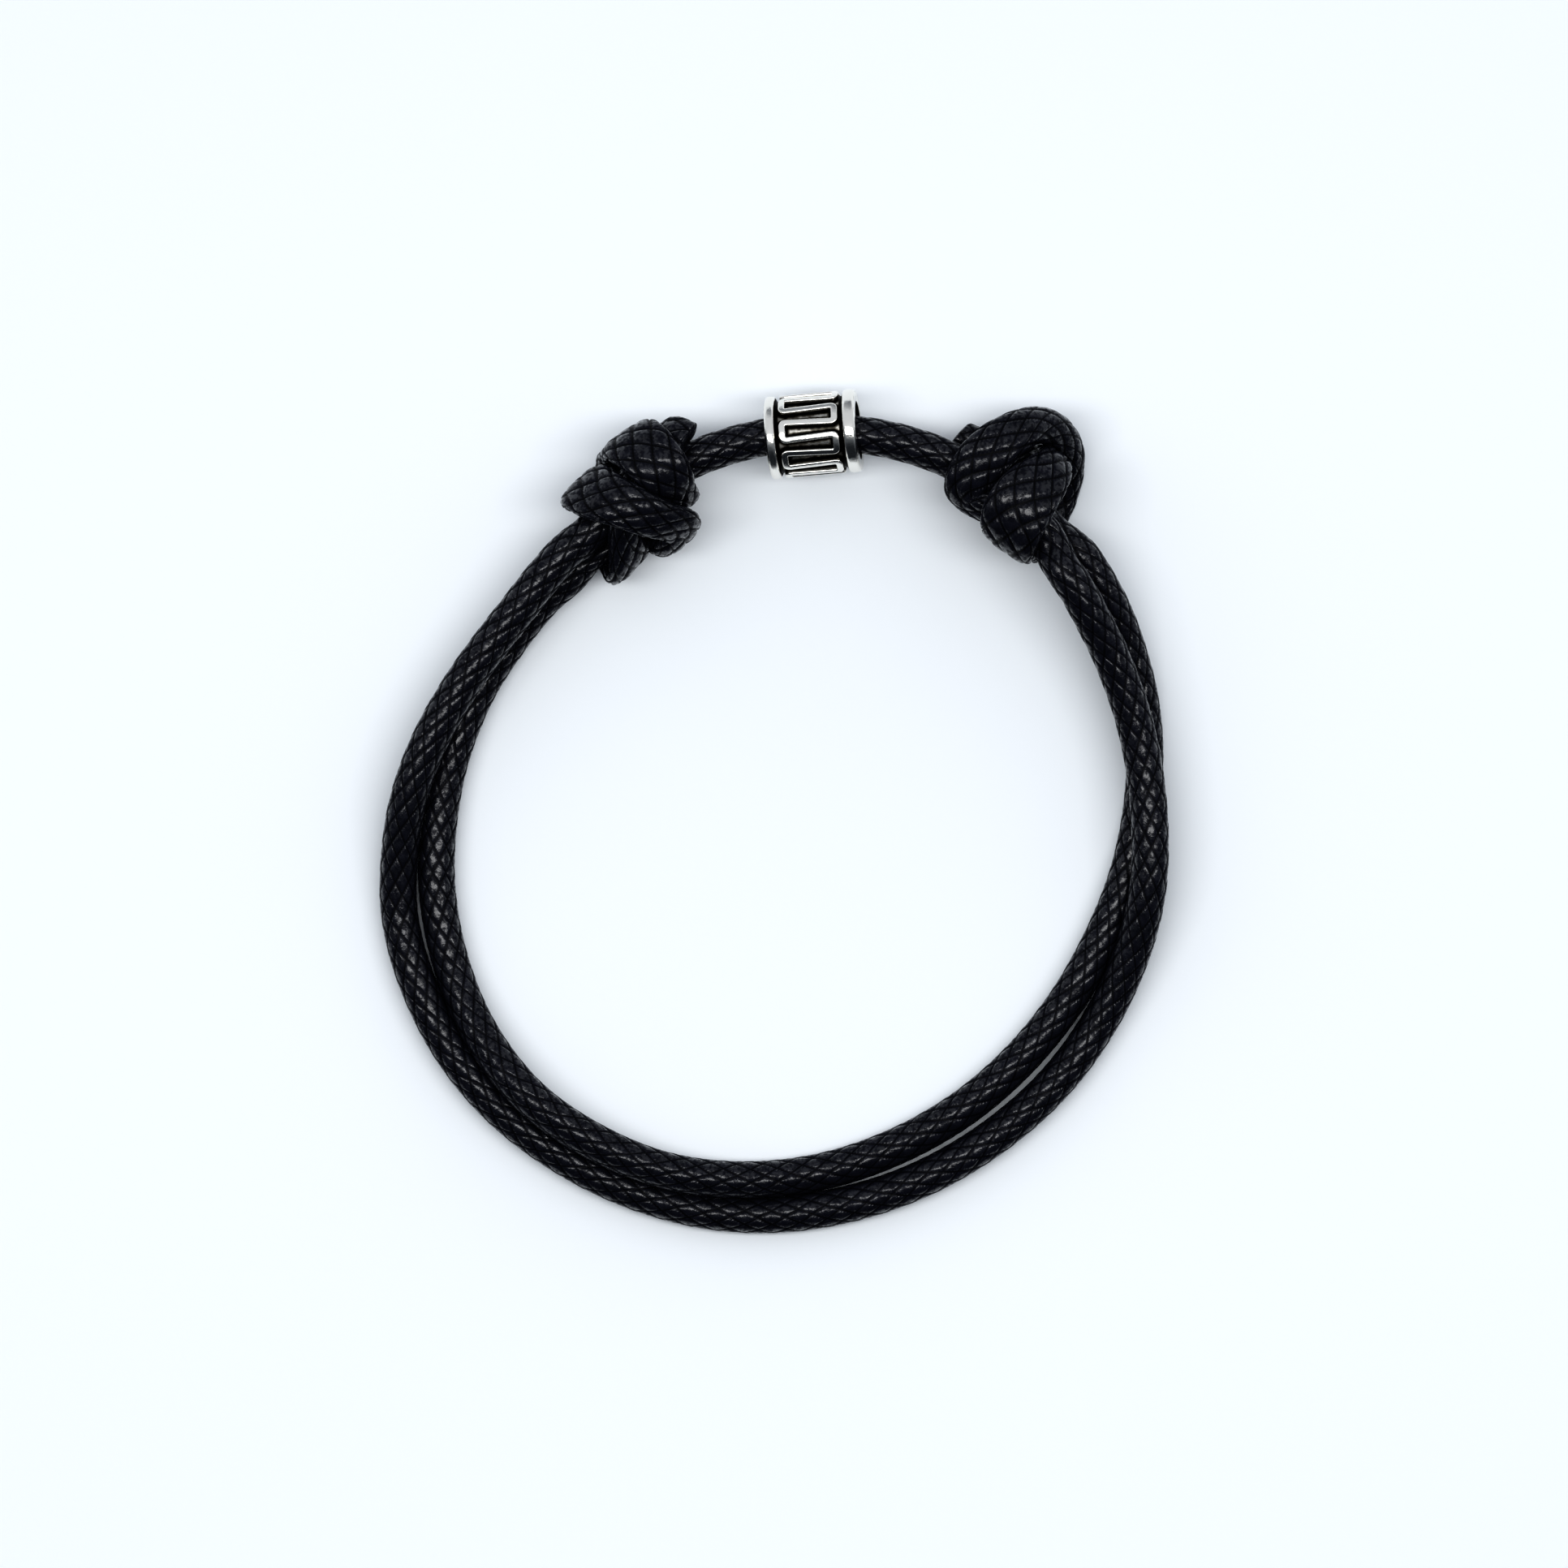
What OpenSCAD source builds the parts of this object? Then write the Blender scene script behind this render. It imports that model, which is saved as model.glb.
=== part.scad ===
// Bracelet of one black waxed cord, closed by two sliding knots, with a metal tube bead.
// Millimetres. It lies flat on the plane z = 0, with +Z up and +Y towards the bead.

/* [Cord] */
// Diameter of the cord where it runs free
cord_d = 2.8; // [2.6:0.1:2.8]

/* [Bead] */
// Length of the bead along its bore
bead_length = 7; // [6:0.1:7.4]
// Diameter over the two end rims
rim_d = 6.4; // [6:0.1:6.8]
// Diameter over the raised pattern of the barrel
barrel_d = 6.3; // [5.8:0.1:6.3]
// Diameter of the bore, loose on the cord
bore_d = 4.4; // [4.4:0.1:4.8]
// Width of the rim on the side of the left knot
left_rim = 0.8; // [0.6:0.1:1]
// Width of the rim on the side of the right knot
right_rim = 1; // [0.6:0.1:1.2]
// Width of the groove beside each rim
groove_w = 0.3; // [0.2:0.05:0.4]
// Depth of the two grooves below the rims
groove_depth = 0.45; // [0.3:0.05:0.5]

/* [Bead strand] */
// Radius of the arc that the strand through the bead follows
arc_r = 24.4; // [24.3:0.1:24.5]
// Height of that strand above the table
arc_z = 5; // [5:0.1:5.2]
// Angle of each knot's middle, from the top of the arc
knot_turn = 36.5; // [36:0.5:37]

/* [Hidden] */

// Centre of the arc of the bead strand
arc_center = [3.6, 4.8];
// Place along a knot at which the strand that goes on as its wraps begins, just outside them
wraps_joint = -7.3;
// Place along a knot at which the strand that goes on as its core begins, inside its wraps
core_joint = -4.4;
// Stretch next to a joint in which a strand keeps the direction of the cord that it goes on as
straight = 0.6;
// Gap there, so that the pieces of the cord don't overlap
joint_gap = 0.1;
// Sides of a tube of free cord, and of the flattened cord in a knot
strand_sides = 8;
wrap_sides = 10;
// Steps from one row of a knot's table to the next
wrap_steps = 2;
// Where the bead hangs: its angle on the arc, how far its middle lies inside the arc and below it
bead_turn = 1.3;
bead_inset = 0.13;
bead_drop = 0.3;
// How the loose bead is turned in plan, and how its right end is lifted
bead_yaw = 5;
bead_lift = 6;
bead_facets = 96;
small_facets = 32;
rim_round = 0.35;
// How far shapes that are joined reach into each other
overlap = 0.01;
LEFT = 1;
RIGHT = -1;

// Columns of the tables of the knots. The angle runs round the core: 0 is the outer side of the
// loop, 90 is up, 180 is the inner side and 270 is down, and a value below 0 is a further turn.
// Radius is the distance from the core's axis, and along is counted from the knot's middle towards
// the bead. Width and thickness are those of the cord, which is squeezed flat where it wraps.
ANGLE = 0;
RADIUS = 1;
ALONG = 2;
WIDTH = 3;
THICKNESS = 4;

// Left knot, from the strand that enters under the wraps to the cut tail
left_wraps = [
    [252, 2.85, -7.3, 2.8, 2.8],
    [252, 2.85, -6.8, 2.8, 2.8],
    [250, 2.7, -6.3, 2.8, 2.5],
    [246, 2.45, -5.6, 2.9, 1.9],
    [241, 2.4, -4.7, 3.0, 1.8],
    [235, 2.4, -3.5, 3.0, 1.8],
    [230, 2.4, -2.4, 3.0, 1.8],
    [222, 2.7, -1.2, 2.8, 1.9],
    [211, 3.5, -0.3, 3.2, 1.9],
    [201, 4.3, 0.1, 3.5, 2.1],
    [192, 4.6, 0.5, 3.6, 2.3],
    [184, 4.5, 1.0, 3.6, 2.1],
    [174, 4.35, 1.6, 3.6, 1.9],
    [162, 4.3, 1.8, 3.4, 1.8],
    [150, 4.35, 1.5, 3.2, 1.7],
    [138, 4.4, 1.0, 3.0, 1.7],
    [126, 4.4, 0.3, 3.2, 1.7],
    [112, 4.35, -0.3, 3.4, 1.7],
    [97, 4.3, -0.9, 3.6, 1.7],
    [81, 3.9, -1.5, 3.9, 1.7],
    [63, 3.3, -1.9, 4.35, 1.7],
    [42, 2.95, -2.1, 4.55, 1.7],
    [18, 2.9, -2.45, 4.3, 1.7],
    [-7, 2.65, -2.5, 4.0, 1.7],
    [-32, 2.4, -2.0, 3.4, 1.7],
    [-56, 2.4, -0.9, 3.1, 1.7],
    [-79, 2.4, 0.4, 3.0, 1.7],
    [-101, 2.4, 1.5, 3.0, 1.7],
    [-124, 2.4, 2.4, 3.0, 1.7],
    [-148, 2.4, 2.9, 3.0, 1.7],
    [-172, 2.4, 3.1, 3.0, 1.7],
    [-196, 2.4, 3.1, 3.0, 1.7],
    [-219, 2.4, 3.1, 3.0, 1.7],
    [-238, 2.8, 3.1, 3.2, 1.7],
    [-254, 3.5, 3.1, 3.6, 1.6],
    [-271, 4.1, 3.0, 4.1, 1.6],
    [-291, 4.25, 2.7, 4.5, 1.6],
    [-307, 4.25, 2.5, 4.7, 1.6],
    [-323, 4.1, 2.2, 4.7, 1.6],
    [-340, 3.85, 1.9, 4.5, 1.6],
    [-358, 3.55, 1.7, 4.3, 1.6],
    [-377, 3.5, 1.5, 4.1, 1.6],
    [-395, 3.9, 1.1, 3.9, 1.6],
    [-413, 4.15, 0.4, 3.7, 1.6],
    [-431, 4.15, -0.5, 3.6, 1.6],
    [-449, 4.1, -1.5, 3.6, 1.6],
    [-467, 4.1, -2.6, 3.5, 1.6],
    [-484, 4.2, -3.4, 4.0, 1.6],
    [-501, 4.2, -3.8, 4.6, 1.6],
    [-518, 4.0, -3.75, 4.7, 1.6],
    [-535, 3.55, -3.4, 4.4, 1.6],
    [-553, 2.95, -2.95, 3.5, 1.7],
    [-572, 2.5, -2.5, 2.8, 2.0],
    [-591, 2.45, -1.7, 2.8, 1.9],
    [-609, 2.45, -0.9, 2.8, 1.9],
    [-626, 2.45, 0.0, 2.8, 1.9],
    [-644, 2.4, 0.8, 2.8, 1.8],
    [-662, 2.35, 1.6, 2.8, 1.7],
    [-677, 2.35, 2.5, 2.8, 1.7],
    [-687, 2.5, 3.3, 2.9, 1.8],
    [-688, 2.75, 3.9, 3.3, 1.9],
    [-681, 2.85, 4.5, 3.7, 2.1],
    [-671, 2.8, 5.0, 3.5, 2.1],
    [-663, 2.75, 5.35, 3.3, 2.0]
];

// Right knot, from the strand that enters under the wraps to the cut tail
right_wraps = [
    [117, 2.85, -7.3, 2.8, 2.8],
    [117, 2.85, -6.8, 2.8, 2.8],
    [116, 2.75, -6.3, 2.8, 2.6],
    [113, 2.5, -5.5, 2.9, 2.0],
    [109, 2.4, -4.5, 3.0, 1.8],
    [107, 2.4, -3.3, 3.0, 1.8],
    [107, 2.4, -2.2, 3.0, 1.8],
    [113, 2.4, -1.1, 3.0, 1.8],
    [123, 2.4, -0.1, 3.0, 1.8],
    [136, 2.4, 0.8, 3.0, 1.8],
    [148, 2.4, 1.6, 2.9, 1.8],
    [155, 2.35, 2.3, 2.8, 1.7],
    [152, 2.35, 2.9, 2.8, 1.7],
    [138, 2.4, 3.3, 3.0, 1.8],
    [120, 2.4, 3.4, 3.5, 1.9],
    [97, 2.4, 3.3, 3.9, 1.8],
    [76, 2.7, 3.2, 4.0, 1.8],
    [58, 3.3, 3.0, 3.9, 1.9],
    [41, 4.05, 2.6, 3.7, 2.2],
    [27, 4.75, 2.1, 3.4, 2.6],
    [13, 5.4, 1.5, 3.0, 2.8],
    [0, 5.95, 0.6, 3.0, 2.75],
    [-12, 6.05, -0.4, 3.0, 2.6],
    [-25, 5.8, -1.3, 3.0, 2.45],
    [-40, 5.3, -2.0, 3.1, 2.3],
    [-56, 4.75, -2.6, 3.2, 2.0],
    [-74, 4.0, -3.0, 3.4, 1.8],
    [-94, 3.1, -3.3, 3.7, 1.7],
    [-118, 2.5, -3.4, 4.0, 1.7],
    [-144, 2.35, -3.2, 4.2, 1.6],
    [-166, 2.35, -2.9, 4.3, 1.6],
    [-184, 2.6, -2.6, 4.4, 1.6],
    [-200, 3.1, -2.5, 4.4, 1.6],
    [-216, 3.8, -2.3, 4.5, 1.5],
    [-234, 4.2, -1.9, 4.8, 1.5],
    [-253, 4.25, -1.3, 5.1, 1.5],
    [-272, 4.2, -1.1, 5.0, 1.5],
    [-291, 4.1, -1.1, 4.6, 1.6],
    [-309, 4.1, -1.2, 4.0, 1.7],
    [-326, 4.15, -1.2, 3.4, 1.9],
    [-342, 4.1, -1.1, 3.1, 2.0],
    [-357, 3.9, -0.8, 2.9, 2.1],
    [-371, 3.5, -0.2, 2.8, 2.3],
    [-384, 3.1, 0.7, 2.8, 2.4],
    [-394, 2.85, 1.7, 2.8, 2.5],
    [-400, 2.8, 2.8, 2.8, 2.6],
    [-405, 2.8, 4.1, 2.8, 2.6],
    [-409, 2.8, 5.4, 2.8, 2.6]
];

// Route of the inner strand between the knots
inner_route = [
    [-16.5, 17.6, 2.1],
    [-17.5, 16.8, 2.0],
    [-18.5, 15.7, 1.8],
    [-20.4, 13.3, 1.4],
    [-22.9, 9.4, 1.4],
    [-24.9, 4.4, 1.4],
    [-25.9, -0.8, 1.4],
    [-26.0, -6.2, 1.4],
    [-24.9, -11.8, 1.4],
    [-22.6, -17.1, 2.3],
    [-18.9, -21.8, 3.4],
    [-14.1, -25.2, 3.4],
    [-8.6, -27.5, 3.3],
    [-2.8, -28.3, 2.7],
    [3.2, -27.8, 1.6],
    [8.9, -26.0, 1.4],
    [14.2, -23.1, 1.4],
    [18.7, -19.3, 1.4],
    [22.4, -14.8, 1.4],
    [25.2, -9.9, 1.4],
    [27.2, -5.0, 1.4],
    [28.3, 0.0, 1.4],
    [28.6, 4.8, 1.4],
    [28.2, 8.8, 1.9],
    [27.3, 12.3, 2.6],
    [26.3, 15.0, 3.5],
    [25.3, 17.0, 4.3],
    [23.9, 19.3, 4.9],
    [23.1, 20.2, 5.0],
    [22.4, 20.7, 5.0]
];

// Route of the outer strand between the knots
outer_route = [
    [-15.2, 20.7, 5.0],
    [-15.9, 20.2, 5.0],
    [-16.8, 19.2, 5.0],
    [-18.1, 17.7, 4.9],
    [-19.8, 15.5, 4.7],
    [-21.7, 13.1, 4.5],
    [-24.2, 9.6, 4.3],
    [-26.6, 5.3, 4.0],
    [-28.2, 0.9, 3.3],
    [-28.9, -3.5, 2.2],
    [-28.9, -8.0, 1.4],
    [-27.6, -13.0, 1.4],
    [-25.0, -18.2, 1.4],
    [-21.4, -22.6, 1.4],
    [-16.8, -26.2, 1.4],
    [-11.4, -29.0, 1.4],
    [-5.4, -30.7, 1.4],
    [0.6, -31.0, 1.4],
    [6.6, -30.0, 1.4],
    [12.2, -27.9, 1.4],
    [17.4, -24.7, 1.4],
    [21.8, -20.7, 1.4],
    [25.2, -16.0, 1.5],
    [27.5, -11.0, 2.5],
    [28.7, -6.2, 3.7],
    [28.9, -1.6, 4.2],
    [28.5, 3.0, 4.3],
    [27.5, 7.6, 4.8],
    [25.9, 11.9, 5.7],
    [24.5, 14.7, 6.7],
    [23.3, 16.9, 7.4]
];

// Point on the arc at an angle counted from its top towards the left knot
function arc_point(turn) = [
    arc_center.x - arc_r * sin(turn),
    arc_center.y + arc_r * cos(turn),
    arc_z
];

// Direction out of the loop at that angle
function arc_outward(turn) = [-sin(turn), cos(turn), 0];

// Angle on the arc of a place in a knot
function knot_place(side, along) = side * (knot_turn - along / arc_r * 180 / PI);

// Direction away from the core
function away(turn, angle) = cos(angle) * arc_outward(turn) + [0, 0, sin(angle)];

// Point at an angle, radius and place along the core of a knot
function wrap_point(side, angle, radius, along) =
    let(turn = knot_place(side, along))
    arc_point(turn) + radius * away(turn, angle);

// Rows of a table with more rows between them, on a smooth curve through all of them
function smooth_row(a, b, c, d, t) =
    0.5 * (2 * b + (c - a) * t + (2 * a - 5 * b + 4 * c - d) * t * t
        + (3 * b - a - 3 * c + d) * t * t * t);

function smooth_rows(rows, steps) =
    let(last = len(rows) - 1)
    [
        for (i = [0 : last - 1])
            let(a = rows[max(i - 1, 0)], b = rows[i], c = rows[i + 1], d = rows[min(i + 2, last)])
            for (k = [0 : steps - 1]) smooth_row(a, b, c, d, k / steps),
        rows[last]
    ];

function unit(v) = v / norm(v);

// Direction of a line of points at one of them
function heading(points, i) =
    unit(points[min(i + 1, len(points) - 1)] - points[max(i - 1, 0)]);

// Tube along points, with a direction in which each section is thick, and a width and a
// thickness for each section
module tube(points, thick_way, widths, thicknesses, sides) {
    rings = [
        for (i = [0 : len(points) - 1])
            let(
                ahead = heading(points, i),
                across = unit(cross(ahead, thick_way[i])),
                up = cross(across, ahead)
            )
            for (k = [0 : sides - 1])
                points[i]
                + across * widths[i] / 2 * cos(k * 360 / sides)
                + up * thicknesses[i] / 2 * sin(k * 360 / sides)
    ];
    last = len(points) - 1;
    walls = [
        for (i = [0 : last - 1], k = [0 : sides - 1])
            let(a = i * sides + k, b = i * sides + (k + 1) % sides)
            each [[a, b, b + sides], [a, b + sides, a + sides]]
    ];
    ends = [
        [for (k = [0 : sides - 1]) sides - 1 - k],
        [for (k = [0 : sides - 1]) last * sides + k]
    ];
    polyhedron(rings, concat(walls, ends), convexity = 10);
}

module strand(points) {
    count = len(points);
    tube(
        points,
        [for (i = [1 : count]) [0, 0, 1]],
        [for (i = [1 : count]) cord_d],
        [for (i = [1 : count]) cord_d],
        strand_sides
    );
}

module wraps(side, table) {
    rows = smooth_rows(table, wrap_steps);
    tube(
        [for (r = rows) wrap_point(side, r[ANGLE], r[RADIUS], r[ALONG])],
        [for (r = rows) away(knot_place(side, r[ALONG]), r[ANGLE])],
        [for (r = rows) r[WIDTH]],
        [for (r = rows) r[THICKNESS]],
        wrap_sides
    );
}

// Last two points of a strand before a joint, in line with the cord that it goes on as
function last_places(joint) = [joint - straight, joint - joint_gap];

function into_wraps(side, table) = [
    for (along = last_places(wraps_joint))
        wrap_point(side, table[0][ANGLE], table[0][RADIUS], along)
];

function into_core(side) = [
    for (along = last_places(core_joint)) arc_point(knot_place(side, along))
];

function backwards(list) = [for (i = [len(list) - 1 : -1 : 0]) list[i]];

module left_knot() {
    color("#26262b") wraps(LEFT, left_wraps);
}

module right_knot() {
    color("#26262b") wraps(RIGHT, right_wraps);
}

module inner_strand() {
    color("#1c1c20")
    strand(concat(backwards(into_wraps(LEFT, left_wraps)), inner_route, into_core(RIGHT)));
}

module outer_strand() {
    color("#1c1c20")
    strand(concat(backwards(into_core(LEFT)), outer_route, into_wraps(RIGHT, right_wraps)));
}

module bead_strand() {
    reach = knot_place(LEFT, core_joint);
    color("#1c1c20")
    translate([arc_center.x, arc_center.y, arc_z])
    rotate([0, 0, 90 - reach])
    rotate_extrude(angle = 2 * reach, $fn = bead_facets)
    translate([arc_r, 0])
    circle(d = cord_d, $fn = small_facets);
}

// Half outline of the bead: radius, and place along the bore from its middle
module bead_outline() {
    half = bead_length / 2;
    rim_r = rim_d / 2;
    floor_r = rim_r - groove_depth;
    barrel_length = bead_length - left_rim - right_rim - 2 * groove_w;
    translate([bore_d / 2, -half]) square([floor_r - bore_d / 2, bead_length]);
    rim(-half, left_rim);
    rim(half - right_rim, right_rim);
    translate([floor_r - overlap, -half + left_rim + groove_w])
    square([barrel_d / 2 - floor_r + overlap, barrel_length]);
}

module rim(start, width) {
    translate([bore_d / 2, start])
    square([rim_d / 2 - bore_d / 2 - rim_round, width]);
    translate([rim_d / 2 - rim_round - overlap, start + rim_round])
    square([rim_round + overlap, width - 2 * rim_round]);
    for (y = [start + rim_round, start + width - rim_round])
        translate([rim_d / 2 - rim_round, y]) circle(r = rim_round, $fn = small_facets);
}

module bead() {
    turn = bead_turn;
    middle = arc_point(turn) - bead_inset * arc_outward(turn) - [0, 0, bead_drop];
    color("#b9bab6")
    translate(middle)
    rotate([0, -bead_lift, bead_yaw])
    rotate([0, 90, 0])
    rotate_extrude($fn = bead_facets)
    bead_outline();
}

left_knot();
right_knot();
inner_strand();
outer_strand();
bead_strand();
bead();
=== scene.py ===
"""Looks of a cord bracelet: a braided, waxed cord tied in two sliding knots, and a patterned tube bead.

The one cord runs from its left tail through the left knot, round the wrist as the inner strand,
through the wraps of the right knot and the bead, out through the wraps of the left knot, round
the wrist again as the outer strand and into the right knot. It is made here as three pieces
whose ends meet out of sight inside the knots.
"""

import logging
import math
from dataclasses import dataclass, field
from enum import Enum
from typing import Any, Callable, Sequence

import bmesh
import bpy
import numpy as np
from mathutils import Matrix, Vector
from mathutils.kdtree import KDTree


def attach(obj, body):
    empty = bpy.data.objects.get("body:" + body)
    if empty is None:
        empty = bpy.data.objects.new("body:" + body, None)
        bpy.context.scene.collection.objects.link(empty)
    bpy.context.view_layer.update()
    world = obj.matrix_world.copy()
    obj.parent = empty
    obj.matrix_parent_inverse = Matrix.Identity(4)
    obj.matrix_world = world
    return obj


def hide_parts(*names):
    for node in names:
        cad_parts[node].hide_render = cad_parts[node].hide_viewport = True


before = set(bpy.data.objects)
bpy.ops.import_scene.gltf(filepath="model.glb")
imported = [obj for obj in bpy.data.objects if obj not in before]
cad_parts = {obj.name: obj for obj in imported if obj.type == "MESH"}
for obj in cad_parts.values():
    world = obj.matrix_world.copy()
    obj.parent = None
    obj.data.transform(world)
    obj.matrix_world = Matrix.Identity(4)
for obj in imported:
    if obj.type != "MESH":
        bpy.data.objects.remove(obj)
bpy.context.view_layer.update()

LOG = logging.getLogger("bracelet")
MM = 0.001
# Slack in finding the bead's edges and points by their place
NEAR = 0.01 * MM
UP = np.array([0.0, 0.0, 1.0])

Row = tuple[float, float, float, float, float]
Place = tuple[float, float, float]


class Side(Enum):
    """Side of the bead that a knot is on, as the sign of its angle on the bead's arc."""

    LEFT = 1
    RIGHT = -1


# Rows of a knot: angle round the core (0 is the outer side of the loop, 90 is up), distance from
# the core's axis, place along the core towards the bead, and the cord's width and thickness there.
# Degrees and millimetres, from the strand that enters under the wraps to the cut tail.
LEFT_WRAPS: list[Row] = [
    (252, 2.85, -7.3, 2.8, 2.8),
    (252, 2.85, -6.8, 2.8, 2.8),
    (250, 2.7, -6.3, 2.8, 2.5),
    (246, 2.45, -5.6, 2.9, 1.9),
    (241, 2.4, -4.7, 3.0, 1.8),
    (235, 2.4, -3.5, 3.0, 1.8),
    (230, 2.4, -2.4, 3.0, 1.8),
    (222, 2.7, -1.2, 2.8, 1.9),
    (211, 3.5, -0.3, 3.2, 1.9),
    (201, 4.3, 0.1, 3.5, 2.1),
    (192, 4.6, 0.5, 3.6, 2.3),
    (184, 4.5, 1.0, 3.6, 2.1),
    (174, 4.35, 1.6, 3.6, 1.9),
    (162, 4.3, 1.8, 3.4, 1.8),
    (150, 4.35, 1.5, 3.2, 1.7),
    (138, 4.4, 1.0, 3.0, 1.7),
    (126, 4.4, 0.3, 3.2, 1.7),
    (112, 4.35, -0.3, 3.4, 1.7),
    (97, 4.3, -0.9, 3.6, 1.7),
    (81, 3.9, -1.5, 3.9, 1.7),
    (63, 3.3, -1.9, 4.35, 1.7),
    (42, 2.95, -2.1, 4.55, 1.7),
    (18, 2.9, -2.45, 4.3, 1.7),
    (-7, 2.65, -2.5, 4.0, 1.7),
    (-32, 2.4, -2.0, 3.4, 1.7),
    (-56, 2.4, -0.9, 3.1, 1.7),
    (-79, 2.4, 0.4, 3.0, 1.7),
    (-101, 2.4, 1.5, 3.0, 1.7),
    (-124, 2.4, 2.4, 3.0, 1.7),
    (-148, 2.4, 2.9, 3.0, 1.7),
    (-172, 2.4, 3.1, 3.0, 1.7),
    (-196, 2.4, 3.1, 3.0, 1.7),
    (-219, 2.4, 3.1, 3.0, 1.7),
    (-238, 2.8, 3.1, 3.2, 1.7),
    (-254, 3.5, 3.1, 3.6, 1.6),
    (-271, 4.1, 3.0, 4.1, 1.6),
    (-291, 4.25, 2.7, 4.5, 1.6),
    (-307, 4.25, 2.5, 4.7, 1.6),
    (-323, 4.1, 2.2, 4.7, 1.6),
    (-340, 3.85, 1.9, 4.5, 1.6),
    (-358, 3.55, 1.7, 4.3, 1.6),
    (-377, 3.5, 1.5, 4.1, 1.6),
    (-395, 3.9, 1.1, 3.9, 1.6),
    (-413, 4.15, 0.4, 3.7, 1.6),
    (-431, 4.15, -0.5, 3.6, 1.6),
    (-449, 4.1, -1.5, 3.6, 1.6),
    (-467, 4.1, -2.6, 3.5, 1.6),
    (-484, 4.2, -3.4, 4.0, 1.6),
    (-501, 4.2, -3.8, 4.6, 1.6),
    (-518, 4.0, -3.75, 4.7, 1.6),
    (-535, 3.55, -3.4, 4.4, 1.6),
    (-553, 2.95, -2.95, 3.5, 1.7),
    (-572, 2.5, -2.5, 2.8, 2.0),
    (-591, 2.45, -1.7, 2.8, 1.9),
    (-609, 2.45, -0.9, 2.8, 1.9),
    (-626, 2.45, 0.0, 2.8, 1.9),
    (-644, 2.4, 0.8, 2.8, 1.8),
    (-662, 2.35, 1.6, 2.8, 1.7),
    (-677, 2.35, 2.5, 2.8, 1.7),
    (-687, 2.5, 3.3, 2.9, 1.8),
    (-688, 2.75, 3.9, 3.3, 1.9),
    (-681, 2.85, 4.5, 3.7, 2.1),
    (-671, 2.8, 5.0, 3.5, 2.1),
    (-663, 2.75, 5.35, 3.3, 2.0),
]
RIGHT_WRAPS: list[Row] = [
    (117, 2.85, -7.3, 2.8, 2.8),
    (117, 2.85, -6.8, 2.8, 2.8),
    (116, 2.75, -6.3, 2.8, 2.6),
    (113, 2.5, -5.5, 2.9, 2.0),
    (109, 2.4, -4.5, 3.0, 1.8),
    (107, 2.4, -3.3, 3.0, 1.8),
    (107, 2.4, -2.2, 3.0, 1.8),
    (113, 2.4, -1.1, 3.0, 1.8),
    (123, 2.4, -0.1, 3.0, 1.8),
    (136, 2.4, 0.8, 3.0, 1.8),
    (148, 2.4, 1.6, 2.9, 1.8),
    (155, 2.35, 2.3, 2.8, 1.7),
    (152, 2.35, 2.9, 2.8, 1.7),
    (138, 2.4, 3.3, 3.0, 1.8),
    (120, 2.4, 3.4, 3.5, 1.9),
    (97, 2.4, 3.3, 3.9, 1.8),
    (76, 2.7, 3.2, 4.0, 1.8),
    (58, 3.3, 3.0, 3.9, 1.9),
    (41, 4.05, 2.6, 3.7, 2.2),
    (27, 4.75, 2.1, 3.4, 2.6),
    (13, 5.4, 1.5, 3.0, 2.8),
    (0, 5.95, 0.6, 3.0, 2.75),
    (-12, 6.05, -0.4, 3.0, 2.6),
    (-25, 5.8, -1.3, 3.0, 2.45),
    (-40, 5.3, -2.0, 3.1, 2.3),
    (-56, 4.75, -2.6, 3.2, 2.0),
    (-74, 4.0, -3.0, 3.4, 1.8),
    (-94, 3.1, -3.3, 3.7, 1.7),
    (-118, 2.5, -3.4, 4.0, 1.7),
    (-144, 2.35, -3.2, 4.2, 1.6),
    (-166, 2.35, -2.9, 4.3, 1.6),
    (-184, 2.6, -2.6, 4.4, 1.6),
    (-200, 3.1, -2.5, 4.4, 1.6),
    (-216, 3.8, -2.3, 4.5, 1.5),
    (-234, 4.2, -1.9, 4.8, 1.5),
    (-253, 4.25, -1.3, 5.1, 1.5),
    (-272, 4.2, -1.1, 5.0, 1.5),
    (-291, 4.1, -1.1, 4.6, 1.6),
    (-309, 4.1, -1.2, 4.0, 1.7),
    (-326, 4.15, -1.2, 3.4, 1.9),
    (-342, 4.1, -1.1, 3.1, 2.0),
    (-357, 3.9, -0.8, 2.9, 2.1),
    (-371, 3.5, -0.2, 2.8, 2.3),
    (-384, 3.1, 0.7, 2.8, 2.4),
    (-394, 2.85, 1.7, 2.8, 2.5),
    (-400, 2.8, 2.8, 2.8, 2.6),
    (-405, 2.8, 4.1, 2.8, 2.6),
    (-409, 2.8, 5.4, 2.8, 2.6),
]

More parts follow.
